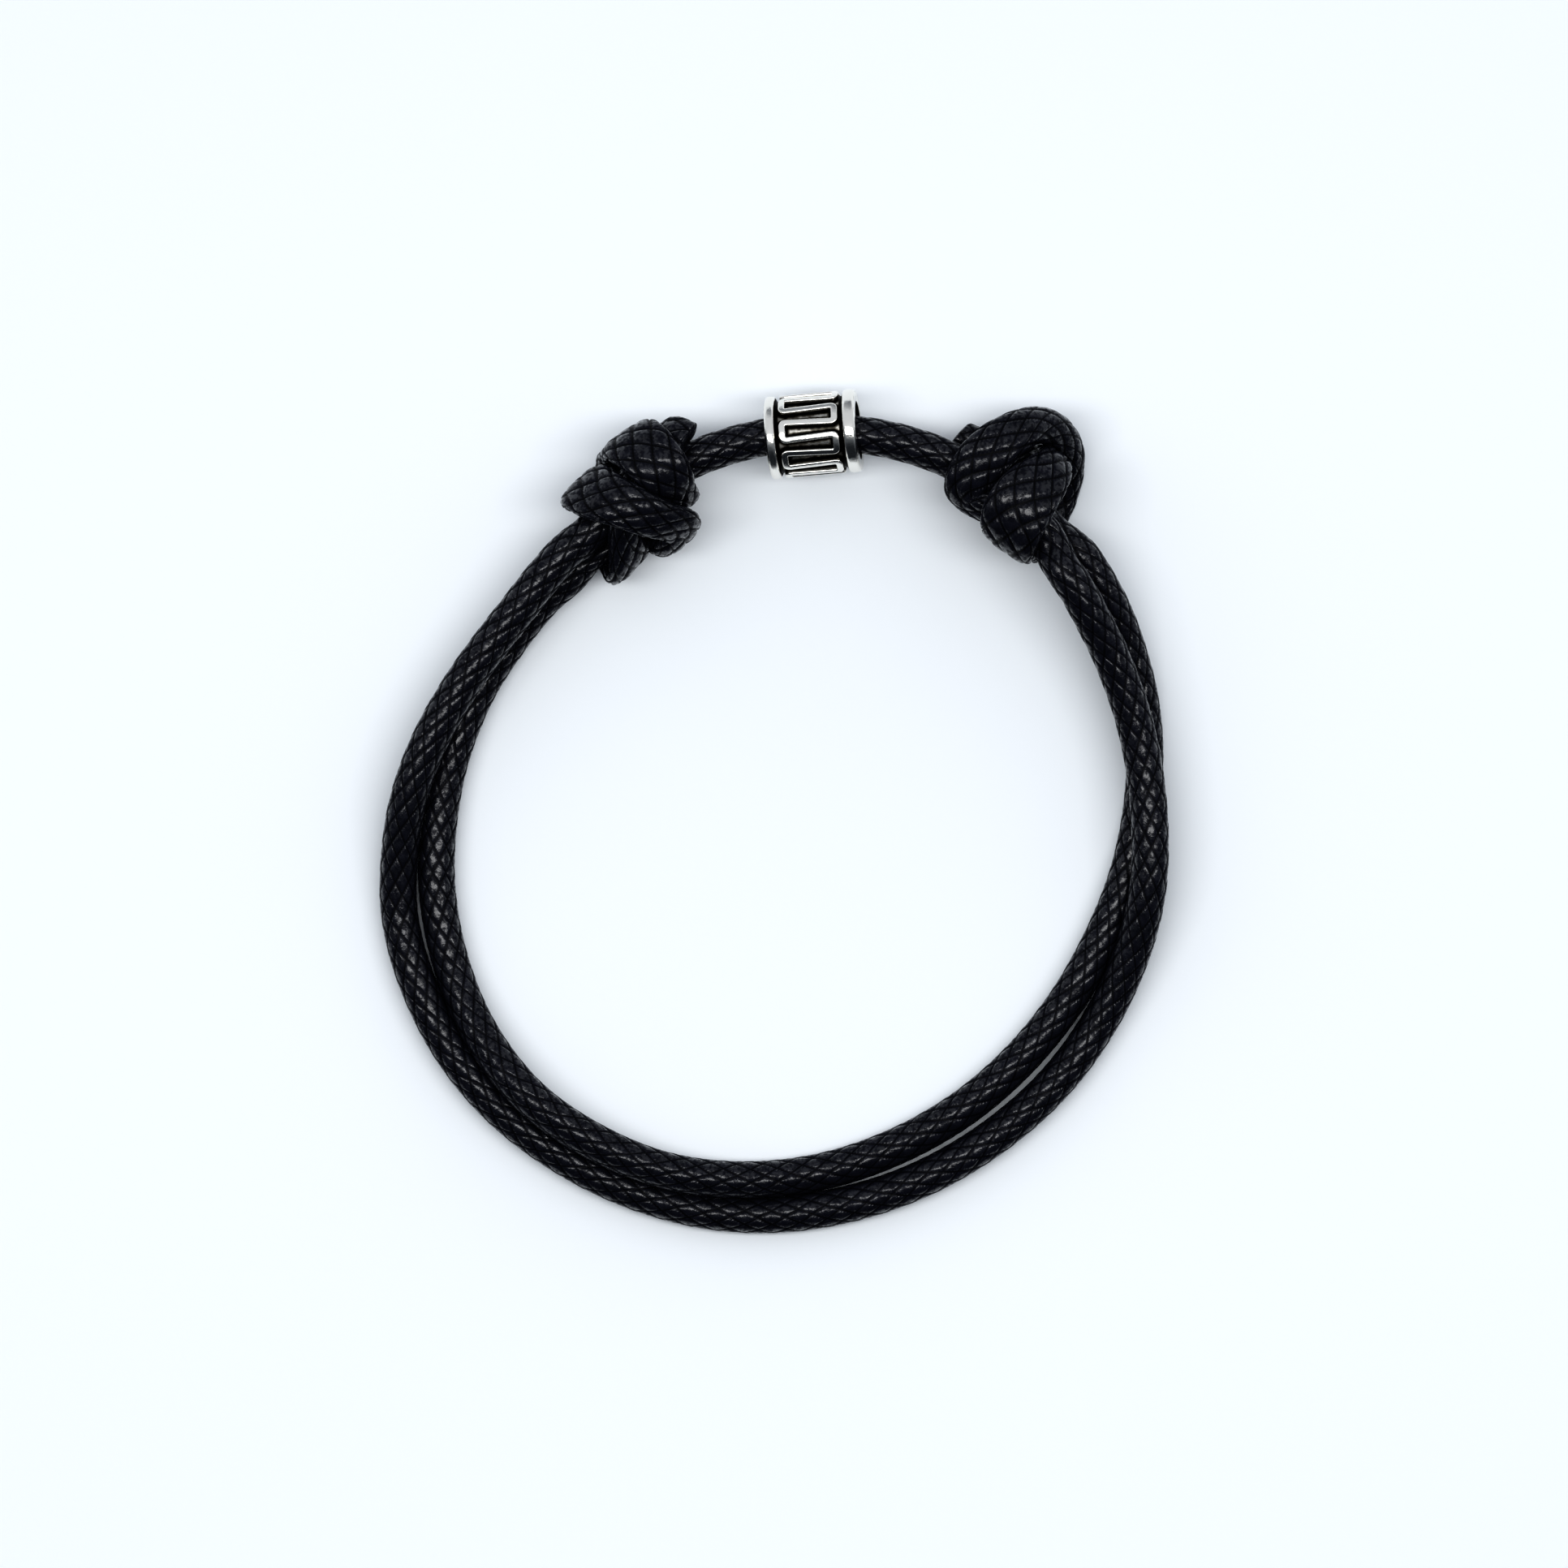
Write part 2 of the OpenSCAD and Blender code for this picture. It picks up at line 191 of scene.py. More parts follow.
# Routes of the two strands between the knots, in metres
INNER_ROUTE: list[Place] = [
    (-0.0165, 0.0176, 0.0021),
    (-0.0175, 0.0168, 0.0020),
    (-0.0185, 0.0157, 0.0018),
    (-0.0204, 0.0133, 0.0014),
    (-0.0229, 0.0094, 0.0014),
    (-0.0249, 0.0044, 0.0014),
    (-0.0259, -0.0008, 0.0014),
    (-0.0260, -0.0062, 0.0014),
    (-0.0249, -0.0118, 0.0014),
    (-0.0226, -0.0171, 0.0023),
    (-0.0189, -0.0218, 0.0034),
    (-0.0141, -0.0252, 0.0034),
    (-0.0086, -0.0275, 0.0033),
    (-0.0028, -0.0283, 0.0027),
    (0.0032, -0.0278, 0.0016),
    (0.0089, -0.0260, 0.0014),
    (0.0142, -0.0231, 0.0014),
    (0.0187, -0.0193, 0.0014),
    (0.0224, -0.0148, 0.0014),
    (0.0252, -0.0099, 0.0014),
    (0.0272, -0.0050, 0.0014),
    (0.0283, 0.0000, 0.0014),
    (0.0286, 0.0048, 0.0014),
    (0.0282, 0.0088, 0.0019),
    (0.0273, 0.0123, 0.0026),
    (0.0263, 0.0150, 0.0035),
    (0.0253, 0.0170, 0.0043),
    (0.0239, 0.0193, 0.0049),
    (0.0231, 0.0202, 0.0050),
    (0.0224, 0.0207, 0.0050),
]
OUTER_ROUTE: list[Place] = [
    (-0.0152, 0.0207, 0.0050),
    (-0.0159, 0.0202, 0.0050),
    (-0.0168, 0.0192, 0.0050),
    (-0.0181, 0.0177, 0.0049),
    (-0.0198, 0.0155, 0.0047),
    (-0.0217, 0.0131, 0.0045),
    (-0.0242, 0.0096, 0.0043),
    (-0.0266, 0.0053, 0.0040),
    (-0.0282, 0.0009, 0.0033),
    (-0.0289, -0.0035, 0.0022),
    (-0.0289, -0.0080, 0.0014),
    (-0.0276, -0.0130, 0.0014),
    (-0.0250, -0.0182, 0.0014),
    (-0.0214, -0.0226, 0.0014),
    (-0.0168, -0.0262, 0.0014),
    (-0.0114, -0.0290, 0.0014),
    (-0.0054, -0.0307, 0.0014),
    (0.0006, -0.0310, 0.0014),
    (0.0066, -0.0300, 0.0014),
    (0.0122, -0.0279, 0.0014),
    (0.0174, -0.0247, 0.0014),
    (0.0218, -0.0207, 0.0014),
    (0.0252, -0.0160, 0.0015),
    (0.0275, -0.0110, 0.0025),
    (0.0287, -0.0062, 0.0037),
    (0.0289, -0.0016, 0.0042),
    (0.0285, 0.0030, 0.0043),
    (0.0275, 0.0076, 0.0048),
    (0.0259, 0.0119, 0.0057),
    (0.0245, 0.0147, 0.0067),
    (0.0233, 0.0169, 0.0074),
]


def linear(code: str) -> tuple[float, float, float, float]:
    """Turns an sRGB hex colour into the linear one that a shader takes.

    Args:
        code: six hex digits after a #.

    Returns:
        Red, green, blue and a full alpha.
    """
    parts = [int(code[i : i + 2], 16) / 255 for i in (1, 3, 5)]
    low = [c / 12.92 if c <= 0.04045 else ((c + 0.055) / 1.055) ** 2.4 for c in parts]
    return (low[0], low[1], low[2], 1.0)


def add_node(
    tree: bpy.types.NodeTree,
    kind: str,
    settings: dict[str, Any] | None = None,
    inputs: dict[str | int, Any] | None = None,
    stops: Sequence[tuple[float, Any]] = (),
) -> bpy.types.Node:
    """Adds a node to a material.

    Args:
        tree: the material's node tree.
        kind: Blender's name of the node.
        settings: values of the node's own properties.
        inputs: for each input, a value or the output socket that feeds it.
        stops: places and colours of a colour ramp.

    Returns:
        The new node.
    """
    node = tree.nodes.new(kind)
    for name, value in (settings or {}).items():
        setattr(node, name, value)
    for key, value in (inputs or {}).items():
        if isinstance(value, bpy.types.NodeSocket):
            tree.links.new(value, node.inputs[key])
        else:
            node.inputs[key].default_value = value
    for i, (place, colour) in enumerate(stops):
        elements = node.color_ramp.elements
        element = elements[i] if i < 2 else elements.new(place)
        element.position = place
        element.color = colour
    return node


def noise(tree: bpy.types.NodeTree, place: Any, size: float, detail: float = 2.0) -> Any:
    """Adds noise to a material.

    Args:
        tree: the material's node tree.
        place: socket of the coordinates.
        size: how far apart its patches are, in the unit of the coordinates.
        detail: how many finer layers lie over them.

    Returns:
        The socket of the noise.
    """
    inputs = {"Vector": place, "Scale": 1 / size, "Detail": detail}
    return add_node(tree, "ShaderNodeTexNoise", inputs=inputs).outputs["Fac"]


def bump(
    tree: bpy.types.NodeTree, strength: float, depth: float, height: Any, under: Any = None
) -> Any:
    """Adds bumps to a material.

    Args:
        tree: the material's node tree.
        strength: how much of the bumps shows, up to 1.
        depth: how deep they are, in metres.
        height: socket of their heights.
        under: socket of the bumps that these lie on.

    Returns:
        The socket of the bumped normal.
    """
    inputs = {"Strength": strength, "Distance": depth, "Height": height}
    if under is not None:
        inputs["Normal"] = under
    return add_node(tree, "ShaderNodeBump", inputs=inputs).outputs["Normal"]


def new_material(name: str) -> tuple[bpy.types.Material, bpy.types.NodeTree, bpy.types.Node]:
    """Makes a material.

    Args:
        name: the real finish that it stands for.

    Returns:
        The material, its node tree and its Principled shader.
    """
    material = bpy.data.materials.new(name)
    material.use_nodes = True
    tree = material.node_tree
    return material, tree, tree.nodes["Principled BSDF"]


@dataclass(frozen=True)
class WaxedCotton:
    """Black cotton braid soaked in wax: a soft gloss on flat yarns, with dull creases darkened by
    painted shade.
    """

    yarn: str = "#16171e"
    worn: str = "#1f2029"
    # Painted shade: the colour that the deepest parts of the creases darken to
    crease: str = "#08080b"
    gloss: float = 0.15
    dull: float = 0.34
    blotch_mm: float = 0.8
    fibre_mm: float = 0.08
    fibre_stretch: float = 0.12
    grain_mm: float = 0.11
    speck_mm: float = 0.3
    relief: float = 0.02 * MM
    bare_edge: float = 3.0
    shine: float = 0.16

    def make(self) -> bpy.types.Material:
        """Makes the cord's material from the attributes that the braid leaves on its mesh."""
        material, tree, shader = new_material("waxed_cotton_braid")
        # The crease attribute, smoothed, masks both the painted shade in the creases and their real
        # dullness
        open_crease = add_node(tree, "ShaderNodeAttribute", {"attribute_name": "crease"})
        crease = add_node(
            tree,
            "ShaderNodeMapRange",
            {"interpolation_type": "SMOOTHSTEP"},
            {"Value": open_crease.outputs["Fac"], "From Min": 0.25, "From Max": 0.95},
        ).outputs[0]
        weave = add_node(tree, "ShaderNodeAttribute", {"attribute_name": "weave"})
        place = add_node(tree, "ShaderNodeTexCoord").outputs["Object"]
        # Patches where the wax is thicker or rubbed, about 0.8 mm apart
        blotch = noise(tree, place, self.blotch_mm * MM, 3.0)
        patches = add_node(
            tree,
            "ShaderNodeValToRGB",
            inputs={"Fac": blotch},
            stops=[(0.35, linear(self.yarn)), (0.75, linear(self.worn))],
        ).outputs["Color"]
        # Painted shade: the yarn colour darkens towards the crease colour deep in the creases
        colour = add_node(
            tree,
            "ShaderNodeMix",
            {"data_type": "RGBA"},
            {0: crease, 6: patches, 7: linear(self.crease)},
        ).outputs[2]
        tree.links.new(colour, shader.inputs["Base Color"])
        dullness = add_node(
            tree,
            "ShaderNodeMath",
            {"operation": "MULTIPLY_ADD"},
            {0: blotch, 1: 0.5, 2: crease},
        ).outputs[0]
        roughness = add_node(
            tree,
            "ShaderNodeMapRange",
            inputs={
                "Value": dullness,
                "From Min": 0.15,
                "From Max": 0.8,
                "To Min": self.gloss,
                "To Max": self.dull,
            },
        ).outputs[0]
        tree.links.new(roughness, shader.inputs["Roughness"])
        # Fibres run along each yarn; a cotton fibre of 0.02 mm wouldn't show, so they are drawn
        # as bundles of 0.08 mm
        stretched = add_node(
            tree,
            "ShaderNodeMapping",
            inputs={"Vector": weave.outputs["Vector"], "Scale": (1.0, self.fibre_stretch, 1.0)},
        ).outputs[0]
        fibres = noise(tree, stretched, self.fibre_mm)
        # Crumbs of wax, which break the gloss up
        crumbs = noise(tree, place, self.grain_mm * MM)
        threads = bump(tree, 0.5, self.relief, fibres)
        waxed = bump(tree, 0.6, self.relief, crumbs, threads)
        tree.links.new(waxed, shader.inputs["Normal"])
        # Specks of clear wax that lie on the yarns like a coat, but not in creases or on their edges
        film = noise(tree, place, self.speck_mm * MM)
        specks = add_node(
            tree,
            "ShaderNodeMapRange",
            {"interpolation_type": "SMOOTHSTEP"},
            {"Value": film, "From Min": 0.35, "From Max": 0.6},
        ).outputs[0]
        clear = add_node(
            tree,
            "ShaderNodeMath",
            {"operation": "MULTIPLY_ADD", "use_clamp": True},
            {0: open_crease.outputs["Fac"], 1: -self.bare_edge, 2: specks},
        ).outputs[0]
        tree.links.new(clear, shader.inputs["Coat Weight"])
        tree.links.new(waxed, shader.inputs["Coat Normal"])
        shader.inputs["Coat Roughness"].default_value = self.shine
        shader.inputs["IOR"].default_value = 1.46
        shader.inputs["Specular IOR Level"].default_value = 0.1
        return material


@dataclass(frozen=True)
class AntiqueSilver:
    """Cast zinc with an antique silver plate: bright where it is rubbed, black in its recesses."""

    bright: str = "#f1efe9"
    patina: str = "#5f5b53"
    black: str = "#0b0a09"
    polish: float = 0.16
    dull: float = 0.55
    pit_mm: float = 0.35
    grain_mm: float = 0.05

    def make(self) -> bpy.types.Material:
        """Makes the bead's material from the attribute that says how deep each point lies."""
        material, tree, shader = new_material("antique_silver_plate")
        depth = add_node(tree, "ShaderNodeAttribute", {"attribute_name": "depth"}).outputs["Fac"]
        place = add_node(tree, "ShaderNodeTexCoord").outputs["Object"]
        stain = noise(tree, place, self.pit_mm * MM, 4.0)
        # The black wash settles unevenly, so its edge wanders by about a third of a millimetre
        wash = add_node(
            tree,
            "ShaderNodeMath",
            {"operation": "MULTIPLY_ADD"},
            {0: stain, 1: 0.5, 2: depth},
        ).outputs[0]
        colour = add_node(
            tree,
            "ShaderNodeValToRGB",
            inputs={"Fac": wash},
            stops=[
                (0.45, linear(self.bright)),
                (0.75, linear(self.patina)),
                (1.0, linear(self.black)),
            ],
        ).outputs["Color"]
        tree.links.new(colour, shader.inputs["Base Color"])
        roughness = add_node(
            tree,
            "ShaderNodeMapRange",
            inputs={
                "Value": wash,
                "From Min": 0.4,
                "From Max": 1.0,
                "To Min": self.polish,
                "To Max": self.dull,
            },
        ).outputs[0]
        tree.links.new(roughness, shader.inputs["Roughness"])
        grain = noise(tree, place, self.grain_mm * MM)
        cast = bump(tree, 0.5, 0.03 * MM, stain)
        fine = bump(tree, 0.25, 0.006 * MM, grain, cast)
        tree.links.new(fine, shader.inputs["Normal"])
        shader.inputs["Metallic"].default_value = 1.0
        return material


@dataclass(frozen=True)
class MattCard:
    """Pale matt card under the bracelet, with a trace of blue."""

    colour: str = "#f8fcff"
    tooth_mm: float = 0.4

    def make(self) -> bpy.types.Material:
        """Makes the floor's material."""
        material, tree, shader = new_material("matt_card")
        place = add_node(tree, "ShaderNodeTexCoord").outputs["Object"]
        tooth = bump(tree, 0.1, 0.02 * MM, noise(tree, place, self.tooth_mm * MM))
        tree.links.new(tooth, shader.inputs["Normal"])
        shader.inputs["Base Color"].default_value = linear(self.colour)
        shader.inputs["Roughness"].default_value = 0.85
        return material


@dataclass
class BeadArc:
    """Arc that the strand through the bead follows, in metres and degrees."""

    center: tuple[float, float] = (3.6 * MM, 4.8 * MM)
    radius: float = 24.4 * MM
    height: float = 5.0 * MM
    knot_turn: float = 36.5

    def point(self, turn: np.ndarray) -> np.ndarray:
        """Points on the arc at angles counted from its top towards the left knot."""
        turn = np.radians(turn)
        x = self.center[0] - self.radius * np.sin(turn)
        y = self.center[1] + self.radius * np.cos(turn)
        return np.stack([x, y, np.full_like(x, self.height)], axis=-1)

    def outward(self, turn: np.ndarray) -> np.ndarray:
        """Directions out of the loop at those angles."""
        turn = np.radians(turn)
        return np.stack([-np.sin(turn), np.cos(turn), np.zeros_like(turn)], axis=-1)

    def place(self, side: Side, along: np.ndarray) -> np.ndarray:
        """Angles on the arc of places along a knot, counted from its middle to the bead."""
        return side.value * (self.knot_turn - np.degrees(np.asarray(along) / self.radius))

    def away(self, turn: np.ndarray, angle: np.ndarray) -> np.ndarray:
        """Directions away from the core at angles round it."""
        angle = np.radians(angle)
        return np.cos(angle)[:, None] * self.outward(turn) + np.sin(angle)[:, None] * UP


@dataclass
class Run:
    """A run of cord: its centre line, the way that it is thin, and its width and thickness."""

    points: np.ndarray
    thin_way: np.ndarray
    width: np.ndarray
    thickness: np.ndarray

    def backwards(self) -> "Run":
        """The same run from its other end."""
        return Run(
            self.points[::-1], self.thin_way[::-1], self.width[::-1], self.thickness[::-1]
        )


def smooth_rows(rows: np.ndarray, steps: int) -> np.ndarray:
    """Puts more rows between the rows of a table, on a smooth curve through all of them.

    Args:
        rows: the table.
        steps: how many rows to make of each.

    Returns:
        The longer table.
    """
    ends = np.vstack([rows[:1], rows, rows[-1:]])
    a, b, c, d = ends[:-3], ends[1:-2], ends[2:-1], ends[3:]
    made = []
    for t in np.arange(steps) / steps:
        made.append(
            0.5
            * (
                2 * b
                + (c - a) * t
                + (2 * a - 5 * b + 4 * c - d) * t**2
                + (3 * b - a - 3 * c + d) * t**3
            )
        )
    inner = np.stack(made, axis=1).reshape(-1, rows.shape[1])
    return np.vstack([inner, rows[-1:]])


@dataclass
class CordRoute:
    """Centre line of the whole cord, in metres, from its left tail to its right one."""

    arc: BeadArc
    diameter: float = 2.8 * MM
    wraps_joint: float = -7.3 * MM
    core_joint: float = -4.4 * MM
    joint_gap: float = 0.1 * MM
    straight: float = 0.6 * MM
    knot_steps: int = 8
    strand_steps: int = 14
    spacing: float = 0.21 * MM
    softening: float = 0.5 * MM
    core_points: int = 181
    meeting: float = -1.5 * MM
    run: Run = field(init=False)
    meets: tuple[int, int] = field(init=False)

    def __post_init__(self) -> None:
        """Joins the runs of the cord end to end and finds where its pieces meet."""
        left = self._wraps(Side.LEFT, LEFT_WRAPS)
        right = self._wraps(Side.RIGHT, RIGHT_WRAPS)
        inner = self._strand(
            np.vstack(
                [
                    self._into_wraps(Side.LEFT, LEFT_WRAPS)[::-1],
                    INNER_ROUTE,
                    self._into_core(Side.RIGHT),
                ]
            )
        )
        outer = self._strand(
            np.vstack(
                [
                    self._into_core(Side.LEFT)[::-1],
                    OUTER_ROUTE,
                    self._into_wraps(Side.RIGHT, RIGHT_WRAPS),
                ]
            )
        )
        reach = float(self.arc.place(Side.LEFT, np.array(self.core_joint)))
        core = self._round(self.arc.point(np.linspace(-reach, reach, self.core_points)))
        self.run = self._even([left.backwards(), inner, core, outer, right])
        self.meets = (self._meeting(Side.RIGHT), self._meeting(Side.LEFT))

    def _wraps(self, side: Side, table: list[Row]) -> Run:
        """The run of cord that a knot's table describes."""
        rows = smooth_rows(np.array(table, float), self.knot_steps)
        turn = self.arc.place(side, rows[:, 2] * MM)
        thin_way = self.arc.away(turn, rows[:, 0])
        points = self.arc.point(turn) + rows[:, 1:2] * MM * thin_way
        return Run(points, thin_way, rows[:, 3] * MM, rows[:, 4] * MM)

    def _last_places(self, joint: float) -> np.ndarray:
        """Places of a strand's last two points before a joint in a knot."""
        return np.array([joint - self.straight, joint - self.joint_gap])

    def _into_wraps(self, side: Side, table: list[Row]) -> np.ndarray:
        """Last points of a strand, in line with the first row of the wraps that it goes on as."""
        angle, radius = table[0][:2]
        turn = self.arc.place(side, self._last_places(self.wraps_joint))
        ways = self.arc.away(turn, np.full(len(turn), angle))
        return self.arc.point(turn) + radius * MM * ways

    def _into_core(self, side: Side) -> np.ndarray:
        """Last points of a strand, in line with the core of the knot that it goes on as."""
        return self.arc.point(self.arc.place(side, self._last_places(self.core_joint)))

    def _round(self, points: np.ndarray) -> Run:
        """A run of free cord, which is round."""
        size = np.full(len(points), self.diameter)
        return Run(points, np.tile(UP, (len(points), 1)), size, size)

    def _strand(self, points: np.ndarray) -> Run:
        """A run of free cord on a smooth curve through some points, never under the floor."""
        smooth = smooth_rows(points, self.strand_steps)
        smooth[:, 2] = np.maximum(smooth[:, 2], self.diameter / 2)
        return self._round(smooth)

    def _even(self, runs: list[Run]) -> Run:
        """Runs joined into one whose points are evenly spaced and whose kinks are softened."""
        points = np.vstack([r.points for r in runs])
        size = np.column_stack(
            [
                np.concatenate([r.width for r in runs]),
                np.concatenate([r.thickness for r in runs]),
            ]
        )
        data = np.hstack([points, np.vstack([r.thin_way for r in runs]), size])
        steps = np.linalg.norm(np.diff(points, axis=0), axis=1)
        keep = np.concatenate([[True], steps > 1e-7])
        data = data[keep]
        length = self.lengths(data[:, :3])
        count = int(round(length[-1] / self.spacing)) + 1
        even = np.linspace(0, length[-1], count)
        data = np.column_stack([np.interp(even, length, column) for column in data.T])
        reach = int(3 * self.softening / self.spacing)
        weights = np.exp(-0.5 * (np.arange(-reach, reach + 1) * self.spacing / self.softening) ** 2)
        weights /= weights.sum()
        soft = np.column_stack([np.convolve(column, weights, "same") for column in data.T])
        soft[:reach], soft[-reach:] = data[:reach], data[-reach:]
        thin_way = soft[:, 3:6] / np.linalg.norm(soft[:, 3:6], axis=1, keepdims=True)
        return Run(soft[:, :3], thin_way, soft[:, 6], soft[:, 7])

    @staticmethod
    def lengths(points: np.ndarray) -> np.ndarray:
        """Length of the line from its start to each of its points."""
        steps = np.linalg.norm(np.diff(points, axis=0), axis=1)
        return np.concatenate([[0.0], np.cumsum(steps)])

    def _meeting(self, side: Side) -> int:
        """Index of the route's point nearest to the place in a knot's core where pieces meet."""
        turn = float(self.arc.place(side, np.array(self.meeting)))
        place = self.arc.point(np.array([turn]))[0]
        return int(np.argmin(np.linalg.norm(self.run.points - place, axis=1)))


@dataclass(frozen=True)
class Braid:
    """Plain braid of flat yarns, each over one and under one of those that wind the other way.

    Its surface is a grid of points on which the edges of all yarns fall: each yarn is ten points
    wide, and stands one point further round the cord with each point along it.
    """

    yarns: int = 8
    points: int = 10
    crossing: float = 0.06 * MM
    crease: float = 0.055 * MM
    crown: float = 0.02 * MM
    crease_reach: float = 0.14
    yarn_w_mm: float = 0.98
    cell_mm: float = 1.19
    yarns_apart_mm: float = 3.7
    other_way: int = 1000

    @property
    def sides(self) -> int:
        """Points round the cord."""
        return self.yarns * self.points

    def surface(self, rings: np.ndarray) -> tuple[np.ndarray, np.ndarray, np.ndarray]:
        """Relief of the braid on some rings of its grid.

        Args:
            rings: numbers of the rings, counted along the cord.

        Returns:
            For each point of each ring, its height below the crests, how deep in a crease it is
            from 0 to 1, and its place across and along the yarn on top with that yarn's number,
            in millimetres.
        """
        side = np.arange(self.sides)
        a, b = side + rings[:, None], side - rings[:, None]
        i, j = a // self.points, b // self.points
        one, other = (a % self.points) / self.points, (b % self.points) / self.points
        first_on_top = (i + j) % 2 == 0
        across = np.where(first_on_top, one, other)
        along = np.where(first_on_top, b, a) / self.points
        lift = np.sin((along % 1) * math.pi) ** 0.6
        crease = np.maximum.reduce([self._near(d) for d in (one, 1 - one, other, 1 - other)])
        height = -self.crossing * (1 - lift) - self.crease * crease
        height -= self.crown * (2 * across - 1) ** 2
        # Each yarn has its own number, so that no two show the same fibres
        yarn = np.where(first_on_top, i, self.other_way + j)
        weave = (across * self.yarn_w_mm, along * self.cell_mm, yarn * self.yarns_apart_mm)
        return height, crease, np.stack(weave, axis=-1)

    def _near(self, distance: np.ndarray) -> np.ndarray:
        """How much of a crease is left at a distance from it, in yarn widths."""
        return np.clip(1 - distance / self.crease_reach, 0, 1) ** 2

    def faces(self, rings: np.ndarray) -> np.ndarray:
        """Triangles between neighbouring rings, whose edges follow the creases."""
        n = self.sides
        grid = np.arange(len(rings) * n).reshape(-1, n)
        after = np.roll(grid, -1, axis=1)
        a, b, c, d = grid[:-1], after[:-1], after[1:], grid[1:]
        along_first = ((np.arange(n) - rings[:-1, None]) % self.points == 0)[..., None]
        one = np.where(along_first, np.stack([a, b, c], -1), np.stack([a, b, d], -1))
        two = np.where(along_first, np.stack([a, c, d], -1), np.stack([b, c, d], -1))
        return np.concatenate([one.reshape(-1, 3), two.reshape(-1, 3)])


@dataclass
class BraidedCord:
    """The bracelet's cord, in three pieces that meet inside the knots."""

    route: CordRoute
    braid: Braid
    finish: WaxedCotton
    cap_rings: tuple[tuple[float, float], ...] = (
        (0.985, 0.05),
        (0.93, 0.13),
        (0.8, 0.19),
        (0.45, 0.22),
    )
    cut_rings: int = 10
    left_cut: float = 0.25
    right_cut: float = -0.4
    fullness: float = 0.7
    loosening: float = 1.0
    proud: float = 0.05 * MM

    def build(self) -> list[bpy.types.Object]:
        """Returns:
            The pieces, from the left tail to the right one.
        """
        material = self.finish.make()
        run = self.route.run
        last = len(run.points) - 1
        cuts = [0, *self.route.meets, last]
        names = [
            ("cord_left", ("left_knot", "inner_strand")),
            ("cord_bead", ("bead_strand",)),
            ("cord_right", ("right_knot", "outer_strand")),
        ]
        ways = self._even_ways(run.points)
        surface = self._surface(ways)
        self._cut_tails(surface, ways[0])
        surface[..., 2] = np.maximum(surface[..., 2], 0)
        made = []
        for (name, nodes), start, end in zip(names, cuts, cuts[1:]):
            keep = np.arange(start, end + 1)
            piece = self._tube(name, keep, surface[keep], ways[0])
            piece.data.materials.append(material)
            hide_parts(*nodes)
            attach(piece, "cord")
            self._declare(piece, run.points[keep])
            made.append(piece)
        LOG.info("whole cord: %.1f mm", float(CordRoute.lengths(run.points)[-1]) / MM)
        return made

    def _declare(self, piece: bpy.types.Object, line: np.ndarray) -> None:
        """Logs a piece's length and how many faces it has."""
        path = line if piece.name == "cord_right" else line[::-1]
        length = float(CordRoute.lengths(path)[-1])
        LOG.info("%s: %.1f mm, %d faces", piece.name, length / MM, len(piece.data.polygons))

    @staticmethod
    def _even_ways(points: np.ndarray) -> tuple[np.ndarray, np.ndarray, np.ndarray]:
        """Directions along the line and two across it that don't turn round it."""
        ahead = np.gradient(points, axis=0)
        ahead /= np.linalg.norm(ahead, axis=1, keepdims=True)
        side = np.zeros_like(ahead)
        first = np.cross(ahead[0], UP)
        side[0] = first / np.linalg.norm(first)
        for k in range(1, len(points)):
            step = points[k] - points[k - 1]
            c = step @ step
            flat = side[k - 1] - 2 / c * (step @ side[k - 1]) * step
            head = ahead[k - 1] - 2 / c * (step @ ahead[k - 1]) * step
            turn = ahead[k] - head
            c = turn @ turn
            side[k] = flat if c < 1e-18 else flat - 2 / c * (turn @ flat) * turn
        return ahead, side, np.cross(ahead, side)

    def _surface(self, ways: tuple[np.ndarray, np.ndarray, np.ndarray]) -> np.ndarray:
        """Points of the braid on the whole cord, ring by ring."""
        run = self.route.run
        ahead, side, rise = ways
        half_w, half_t = run.width[:, None] / 2, run.thickness[:, None] / 2
        across = np.cross(ahead, run.thin_way)
        across /= np.linalg.norm(across, axis=1, keepdims=True)
        up = np.cross(across, ahead)
        turn = np.arange(self.braid.sides) * 2 * math.pi / self.braid.sides
        way = side[:, None] * np.cos(turn)[:, None] + rise[:, None] * np.sin(turn)[:, None]
        x = np.einsum("kjc,kc->kj", way, across)
        y = np.einsum("kjc,kc->kj", way, up)
        flatness = np.clip(half_w / half_t - 1, 0, 1)
        # Yarns loosen and bulge where the cord is bent round a knot
        height = self.braid.surface(np.arange(len(ahead)))[0] * (1 + self.loosening * flatness)
        # Squeezed flat, its section is fuller than an ellipse: the power rises from 2 to 2.7
        power = 2 + self.fullness * flatness
        fuller = (np.abs(x) ** power + np.abs(y) ** power) ** (-1 / power)
        size = np.hypot(x / half_w, y / half_t)
        proud = height + self.proud
        flat_x = x * (half_w * fuller + proud / half_w / size)
        flat_y = y * (half_t * fuller + proud / half_t / size)
        return (
            run.points[:, None]
            + flat_x[..., None] * across[:, None]
            + flat_y[..., None] * up[:, None]
        )

    def _cut_tails(self, surface: np.ndarray, ahead: np.ndarray) -> None:
        """Slants the ends of the two tails, which were cut off at an angle."""
        points, arc = self.route.run.points, self.route.arc
        weight = (np.arange(1, self.cut_rings + 1) / self.cut_rings) ** 2
        ends = (
            (Side.LEFT, LEFT_WRAPS, np.arange(self.cut_rings)[::-1], -self.left_cut),
            (Side.RIGHT, RIGHT_WRAPS, np.arange(-self.cut_rings, 0), self.right_cut),
        )
        for side, table, rings, slope in ends:
            outward = arc.outward(arc.place(side, np.array([table[-1][2] * MM])))[0]
            aside = (surface[rings] - points[rings, None]) @ outward
            slide = slope * weight[:, None] * aside
            surface[rings] += slide[..., None] * ahead[rings, None]

